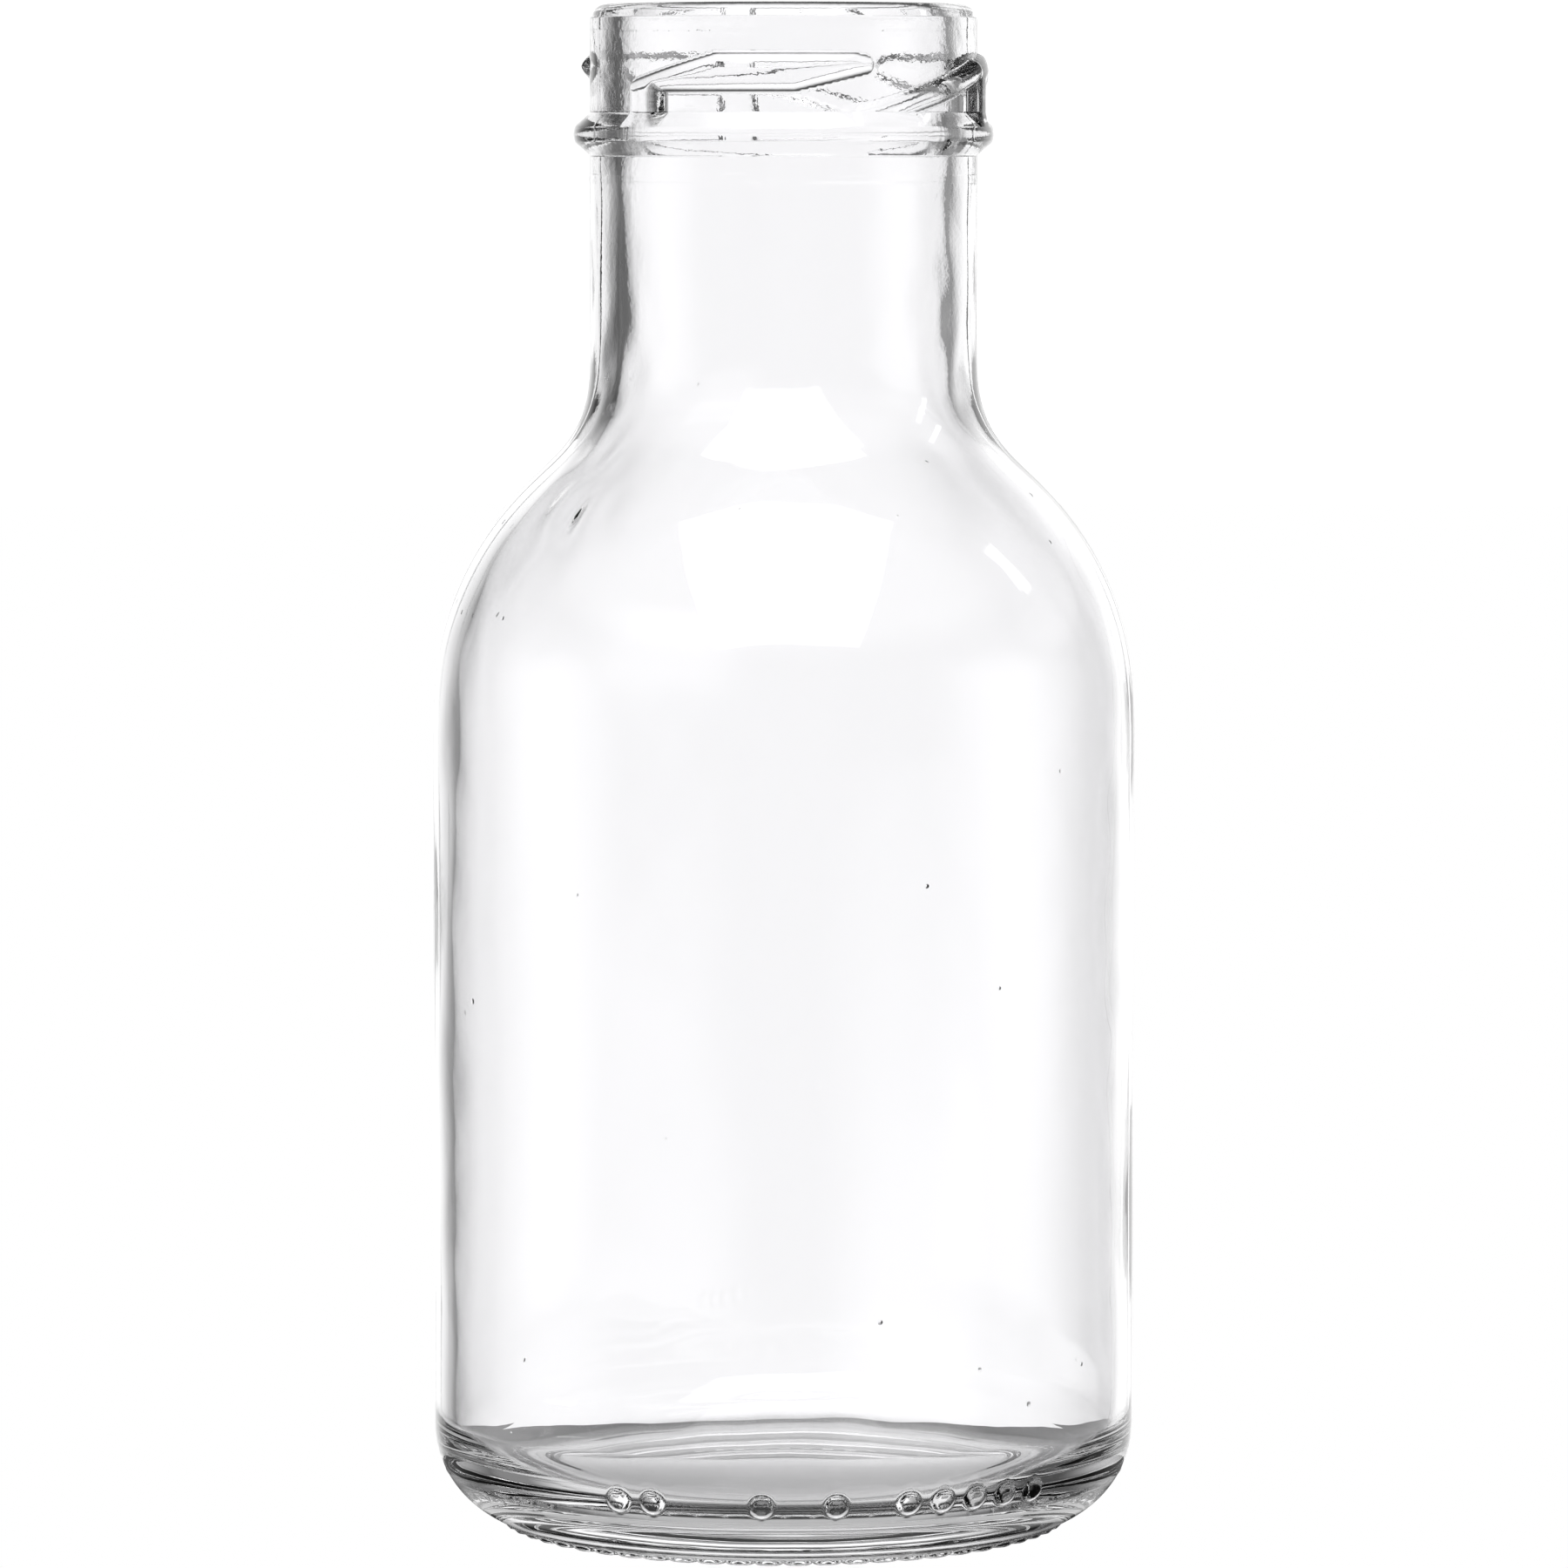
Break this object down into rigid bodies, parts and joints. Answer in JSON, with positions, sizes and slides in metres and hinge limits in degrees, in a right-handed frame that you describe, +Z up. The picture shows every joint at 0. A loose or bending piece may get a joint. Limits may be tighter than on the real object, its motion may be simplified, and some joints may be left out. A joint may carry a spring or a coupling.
{
  "type": "glass milk bottle",
  "caption": "Round clear glass milk bottle with a sloping shoulder, a straight neck and a wide twist-off lug mouth, standing on a knurled ring.",
  "frame": {"origin": "the middle of the ring that the bottle stands on", "axes": "+Z up the bottle's axis to its mouth, -Y towards the side with the mould dots, +X to the right of that side"},
  "size_m": [0.0652, 0.0652, 0.141],
  "materials": {
    "clear_glass": "fire-polished clear flint glass"
  },
  "bodies": {
    "root": {"glass_bottle": "clear_glass"}
  },
  "joints": []
}
